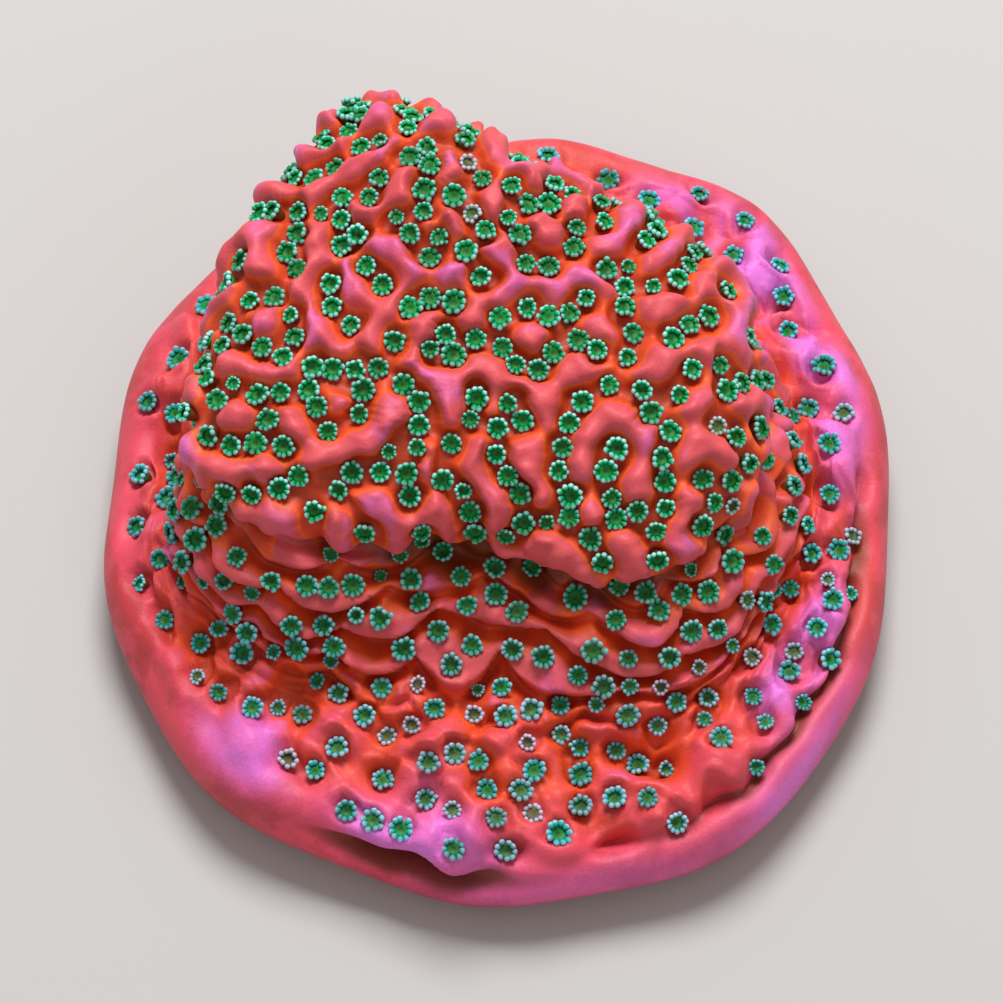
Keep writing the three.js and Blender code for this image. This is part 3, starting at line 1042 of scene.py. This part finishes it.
class CORAL_OT_grow_skin(bpy.types.Operator):
    """Grows the colony's skin over its solid"""

    bl_idname = "coral.grow_skin"
    bl_label = "Grow Skin"

    def execute(self, context):
        colony = grown(context)
        material = tissue_material(context.scene.coral_colours)
        skin = mesh_piece("skin", colony.skin, colony.faces, colony.attributes, material, "tissue")
        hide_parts("colony")
        return {"FINISHED"}


class CORAL_OT_grow_polyps(bpy.types.Operator):
    """Stands polyps in the gaps between the ridges, as one piece on the mound and one on the crust"""

    bl_idname = "coral.grow_polyps"
    bl_label = "Grow Polyps"

    def execute(self, context):
        colony = grown(context)
        polyps = context.scene.coral_polyps
        material = polyp_material(context.scene.coral_colours)
        on_mound = colony.place[colony.sites] >= MOUND_START
        for name, standing in (("polyps_mound", on_mound), ("polyps_crust", ~on_mound)):
            mesh_piece(name, *polyps_at(colony, colony.sites[standing], polyps), material, "polyp")
        return {"FINISHED"}


def look_at(thing, target):
    """Turns a lamp or a camera to a point."""
    thing.rotation_mode = "QUATERNION"
    thing.rotation_quaternion = (Vector(target) - thing.location).to_track_quat("-Z", "Y")


def area_lamp(name, location, size, power):
    """A round lamp that lights the colony."""
    lamp = bpy.data.lights.new(name, "AREA")
    lamp.shape = "DISK"
    lamp.size = size
    lamp.energy = power
    holder = bpy.data.objects.new(name, lamp)
    holder.location = location
    look_at(holder, LAMP_TARGET)
    bpy.context.scene.collection.objects.link(holder)


class CORAL_OT_set_stage(bpy.types.Operator):
    """Sets the pale floor, the soft light and the camera"""

    bl_idname = "coral.set_stage"
    bl_label = "Set Stage"

    def execute(self, context):
        scene = context.scene
        stage = scene.coral_stage
        bpy.ops.mesh.primitive_plane_add(size=FLOOR_SIDE)
        floor = context.object
        floor.name = "floor"
        tree = NodeTree("floor")
        tree.surface({"Base Color": (*stage.floor, 1.0), "Roughness": FLOOR_ROUGHNESS})
        floor.data.materials.append(tree.material)

        scene.world = bpy.data.worlds.new("studio")
        scene.world.use_nodes = True
        background = scene.world.node_tree.nodes["Background"]
        background.inputs["Color"].default_value = SKY
        background.inputs["Strength"].default_value = SKY_STRENGTH
        for name, location, size, share in LAMPS:
            area_lamp(name, location, size, stage.key_power * share)

        back = Vector((0, -math.cos(stage.elevation), math.sin(stage.elevation)))
        up = Vector((0, math.sin(stage.elevation), math.cos(stage.elevation)))
        aim = Vector(CAMERA_TARGET) * MM + up * (CAMERA_RISE * MM)
        data = bpy.data.cameras.new("camera")
        data.lens = data.sensor_width * stage.distance / MM * stage.pixels_per_mm / IMAGE_SIDE
        data.clip_start = CAMERA_START
        camera = bpy.data.objects.new("camera", data)
        camera.location = aim + back * stage.distance
        look_at(camera, aim)
        scene.collection.objects.link(camera)
        scene.camera = camera
        scene.view_settings.view_transform = "Standard"
        return {"FINISHED"}


class CORAL_PT_panel(bpy.types.Panel):
    """The colony's makers and their settings"""

    bl_idname = "CORAL_PT_panel"
    bl_label = "Montipora Coral"
    bl_space_type = "VIEW_3D"
    bl_region_type = "UI"
    bl_category = "Coral"

    def draw(self, context):
        for operator, groups in MAKERS.items():
            self.layout.operator(operator)
            for group in groups:
                settings = getattr(context.scene, group)
                for name in settings.bl_rna.properties.keys():
                    if name not in ("rna_type", "name"):
                        self.layout.prop(settings, name)


# Each operator with the settings that the panel lists under it.
MAKERS = {
    "coral.grow_skin": ("coral_form", "coral_colours"),
    "coral.grow_polyps": ("coral_polyps",),
    "coral.set_stage": ("coral_stage",),
}
SETTINGS = {
    "coral_form": CoralForm,
    "coral_polyps": CoralPolyps,
    "coral_colours": CoralColours,
    "coral_stage": CoralStage,
}
CLASSES = (
    *SETTINGS.values(), CORAL_OT_grow_skin, CORAL_OT_grow_polyps, CORAL_OT_set_stage, CORAL_PT_panel
)


def register():
    for each in CLASSES:
        bpy.utils.register_class(each)
    for name, group in SETTINGS.items():
        setattr(bpy.types.Scene, name, PointerProperty(type=group))


def unregister():
    for name in SETTINGS:
        delattr(bpy.types.Scene, name)
    for each in reversed(CLASSES):
        bpy.utils.unregister_class(each)


def main():
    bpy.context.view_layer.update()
    register()
    bpy.ops.coral.grow_skin()
    bpy.ops.coral.grow_polyps()
    bpy.ops.coral.set_stage()
    bpy.context.view_layer.update()


if __name__ == "__main__":
    main()
